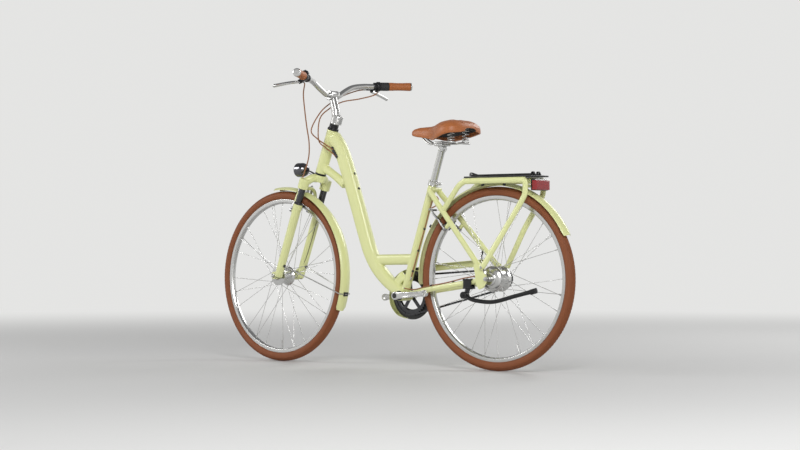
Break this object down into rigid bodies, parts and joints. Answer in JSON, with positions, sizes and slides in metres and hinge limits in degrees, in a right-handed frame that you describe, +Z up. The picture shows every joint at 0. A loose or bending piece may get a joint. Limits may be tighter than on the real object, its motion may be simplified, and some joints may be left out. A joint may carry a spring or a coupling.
{
  "type": "city bicycle",
  "caption": "Step-through city bicycle with sprung fork, swept handlebar, sprung saddle, rear rack, fenders, lights, gear hub, chainguard and kickstand; it steers, and wheels and cranks turn.",
  "frame": {"origin": "centre of the bottom bracket", "axes": "+X forward, +Y to the rider's left, +Z up"},
  "size_m": [1.77, 0.6726, 1.1629],
  "materials": {
    "frame_front_finish": "gloss paint",
    "frame_rear_finish": "gloss paint",
    "headset_lower_cup_finish": "gloss paint",
    "axle_rear_finish": "satin",
    "bottom_bracket_cartridge_finish": "gloss paint",
    "chainguard_finish": "gloss paint",
    "chain_finish": "satin",
    "fender_rear_finish": "gloss paint",
    "rack_frame_finish": "gloss paint",
    "rack_deck_finish": "matte",
    "tail_light_case_finish": "matte",
    "tail_light_lens_finish": "gloss",
    "seat_clamp_finish": "polished",
    "kickstand_bracket_finish": "gloss paint",
    "cable_rear_brake_finish": "gloss",
    "cable_shifter_rear_finish": "gloss",
    "fork_crown_finish": "gloss paint",
    "headset_top_cup_and_spacer_finish": "gloss paint",
    "stem_finish": "polished",
    "handlebar_finish": "polished",
    "grip_left_finish": "soft leatherette",
    "grip_right_finish": "soft leatherette",
    "brake_perch_left_finish": "matte",
    "brake_perch_right_finish": "matte",
    "headlight_body_finish": "matte",
    "headlight_lens_finish": "gloss",
    "cable_front_brake_finish": "gloss",
    "cable_rear_brake_front_finish": "gloss",
    "cable_shifter_front_finish": "gloss",
    "fork_lower_legs_finish": "gloss paint",
    "axle_front_finish": "satin",
    "fender_front_finish": "gloss paint",
    "tyre_front_finish": "matte rubber",
    "rim_front_finish": "polished",
    "hub_dynamo_front_finish": "polished",
    "spokes_front_left_finish": "satin",
    "spokes_front_right_finish": "satin",
    "tyre_rear_finish": "matte rubber",
    "rim_rear_finish": "polished",
    "hub_gear_rear_finish": "polished",
    "spokes_rear_left_finish": "satin",
    "spokes_rear_right_finish": "satin",
    "crank_right_finish": "polished",
    "crank_left_finish": "polished",
    "sprocket_rear_finish": "satin",
    "brake_lever_left_finish": "polished",
    "brake_lever_right_finish": "polished",
    "brake_arm_front_left_finish": "gloss paint",
    "brake_arm_front_right_finish": "gloss paint",
    "brake_arm_rear_left_finish": "gloss paint",
    "brake_arm_rear_right_finish": "gloss paint",
    "shifter_twist_finish": "matte",
    "seatpost_finish": "polished",
    "saddle_rails_finish": "satin",
    "saddle_spring_left_finish": "satin",
    "saddle_spring_right_finish": "satin",
    "saddle_base_finish": "matte",
    "saddle_cover_finish": "soft leatherette",
    "rack_spring_clamp_finish": "gloss paint",
    "kickstand_leg_finish": "gloss paint"
  },
  "bodies": {
    "frame": {"frame_front": "frame_front_finish", "frame_rear": "frame_rear_finish", "headset_lower_cup": "headset_lower_cup_finish", "axle_rear": "axle_rear_finish", "bottom_bracket_cartridge": "bottom_bracket_cartridge_finish", "chainguard": "chainguard_finish", "chain": "chain_finish", "fender_rear": "fender_rear_finish", "rack_frame": "rack_frame_finish", "rack_deck": "rack_deck_finish", "tail_light_case": "tail_light_case_finish", "tail_light_lens": "tail_light_lens_finish", "seat_clamp": "seat_clamp_finish", "kickstand_bracket": "kickstand_bracket_finish", "cable_rear_brake": "cable_rear_brake_finish", "cable_shifter_rear": "cable_shifter_rear_finish"},
    "steering": {"fork_crown": "fork_crown_finish", "headset_top_cup_and_spacer": "headset_top_cup_and_spacer_finish", "stem": "stem_finish", "handlebar": "handlebar_finish", "grip_left": "grip_left_finish", "grip_right": "grip_right_finish", "brake_perch_left": "brake_perch_left_finish", "brake_perch_right": "brake_perch_right_finish", "headlight_body": "headlight_body_finish", "headlight_lens": "headlight_lens_finish", "cable_front_brake": "cable_front_brake_finish", "cable_rear_brake_front": "cable_rear_brake_front_finish", "cable_shifter_front": "cable_shifter_front_finish"},
    "fork_lower": {"fork_lower_legs": "fork_lower_legs_finish", "axle_front": "axle_front_finish", "fender_front": "fender_front_finish"},
    "front_wheel": {"tyre_front": "tyre_front_finish", "rim_front": "rim_front_finish", "hub_dynamo_front": "hub_dynamo_front_finish", "spokes_front_left": "spokes_front_left_finish", "spokes_front_right": "spokes_front_right_finish"},
    "rear_wheel": {"tyre_rear": "tyre_rear_finish", "rim_rear": "rim_rear_finish", "hub_gear_rear": "hub_gear_rear_finish", "spokes_rear_left": "spokes_rear_left_finish", "spokes_rear_right": "spokes_rear_right_finish"},
    "cranks": {"crank_right": "crank_right_finish", "crank_left": "crank_left_finish"},
    "rear_sprocket": {"sprocket_rear": "sprocket_rear_finish"},
    "lever_left": {"brake_lever_left": "brake_lever_left_finish"},
    "lever_right": {"brake_lever_right": "brake_lever_right_finish"},
    "arm_front_left": {"brake_arm_front_left": "brake_arm_front_left_finish"},
    "arm_front_right": {"brake_arm_front_right": "brake_arm_front_right_finish"},
    "arm_rear_left": {"brake_arm_rear_left": "brake_arm_rear_left_finish"},
    "arm_rear_right": {"brake_arm_rear_right": "brake_arm_rear_right_finish"},
    "twist_shifter": {"shifter_twist": "shifter_twist_finish"},
    "seat": {"seatpost": "seatpost_finish", "saddle_rails": "saddle_rails_finish", "saddle_spring_left": "saddle_spring_left_finish", "saddle_spring_right": "saddle_spring_right_finish", "saddle_base": "saddle_base_finish", "saddle_cover": "saddle_cover_finish"},
    "rack_clamp": {"rack_spring_clamp": "rack_spring_clamp_finish"},
    "kickstand": {"kickstand_leg": "kickstand_leg_finish"}
  },
  "joints": [
    {"name": "steering_turn", "type": "hinge", "parent": "frame", "child": "steering", "pos_m": [0.58649, 0, 0.0529], "axis": [-0.342, 0, 0.9397], "range_deg": [-40, 50], "deforming": ["cable_rear_brake_front", "cable_shifter_front"]},
    {"name": "fork_travel", "type": "slide", "parent": "steering", "child": "fork_lower", "axis": [-0.342, 0, 0.9397], "range_m": [0, 0.04], "stiffness_N_per_m": 8000, "springref_m": -0.01, "deforming": ["cable_front_brake"]},
    {"name": "front_wheel_spin", "type": "hinge", "parent": "fork_lower", "child": "front_wheel", "pos_m": [0.6333, -0.00436, 0.06993], "axis": [0.0819, 0.9962, 0.0298], "continuous": true},
    {"name": "rear_wheel_spin", "type": "hinge", "parent": "frame", "child": "rear_wheel", "pos_m": [-0.44452, 0, 0.07], "axis": [0, 1, 0], "continuous": true},
    {"name": "crank_spin", "type": "hinge", "parent": "frame", "child": "cranks", "pos_m": [0, 0, 0], "axis": [0, 1, 0], "continuous": true},
    {"name": "sprocket_spin", "type": "hinge", "parent": "frame", "child": "rear_sprocket", "pos_m": [-0.44452, 0, 0.07], "axis": [0, 1, 0], "continuous": true},
    {"name": "brake_lever_left_pull", "type": "hinge", "parent": "steering", "child": "lever_left", "pos_m": [0.37116, 0.20186, 0.84289], "axis": [0.34, 0.0836, 0.9367], "range_deg": [0, 15], "stiffness_Nm_per_rad": 0.6, "springref_deg": -17.19},
    {"name": "brake_lever_right_pull", "type": "hinge", "parent": "steering", "child": "lever_right", "pos_m": [0.33726, -0.21057, 0.83055], "axis": [-0.3172, 0.1934, -0.9284], "range_deg": [0, 15], "stiffness_Nm_per_rad": 0.6, "springref_deg": -17.19},
    {"name": "brake_arm_front_left_swing", "type": "hinge", "parent": "fork_lower", "child": "arm_front_left", "pos_m": [0.54821, 0.04274, 0.34013], "axis": [0.9361, -0.0872, 0.3407], "range_deg": [0, 3.5]},
    {"name": "brake_arm_front_right_swing", "type": "hinge", "parent": "fork_lower", "child": "arm_front_right", "pos_m": [0.54035, -0.0529, 0.33726], "axis": [-0.9361, 0.0872, -0.3407], "range_deg": [0, 3.5]},
    {"name": "brake_arm_rear_left_swing", "type": "hinge", "parent": "frame", "child": "arm_rear_left", "pos_m": [-0.23421, 0.048, 0.25936], "axis": [0.6691, 0, -0.7431], "range_deg": [0, 3.5]},
    {"name": "brake_arm_rear_right_swing", "type": "hinge", "parent": "frame", "child": "arm_rear_right", "pos_m": [-0.23421, -0.048, 0.25936], "axis": [-0.6691, 0, 0.7431], "range_deg": [0, 3.5]},
    {"name": "shifter_turn", "type": "hinge", "parent": "steering", "child": "twist_shifter", "pos_m": [0.27314, -0.24473, 0.84609], "axis": [-0.581, -0.8138, 0.013], "range_deg": [0, 150]},
    {"name": "seatpost_slide", "type": "slide", "parent": "frame", "child": "seat", "axis": [-0.309, 0, 0.9511], "range_m": [-0.035, 0.06]},
    {"name": "rack_clamp_lift", "type": "hinge", "parent": "frame", "child": "rack_clamp", "pos_m": [-0.62, 0, 0.4622], "axis": [0, -1, 0], "range_deg": [0, 60], "stiffness_Nm_per_rad": 1.2, "springref_deg": -34.38},
    {"name": "kickstand_swing", "type": "hinge", "parent": "frame", "child": "kickstand", "pos_m": [-0.353, 0.088, 0.008], "axis": [0.0892, -0.9913, -0.0971], "range_deg": [0, 95]}
  ],
  "couplings": [
    {"joint": "sprocket_spin", "follows": "crank_spin", "ratio": 2.1111},
    {"joint": "brake_arm_front_left_swing", "follows": "brake_lever_left_pull", "ratio": 0.2},
    {"joint": "brake_arm_front_right_swing", "follows": "brake_lever_left_pull", "ratio": 0.2},
    {"joint": "brake_arm_rear_left_swing", "follows": "brake_lever_right_pull", "ratio": 0.2},
    {"joint": "brake_arm_rear_right_swing", "follows": "brake_lever_right_pull", "ratio": 0.2}
  ]
}
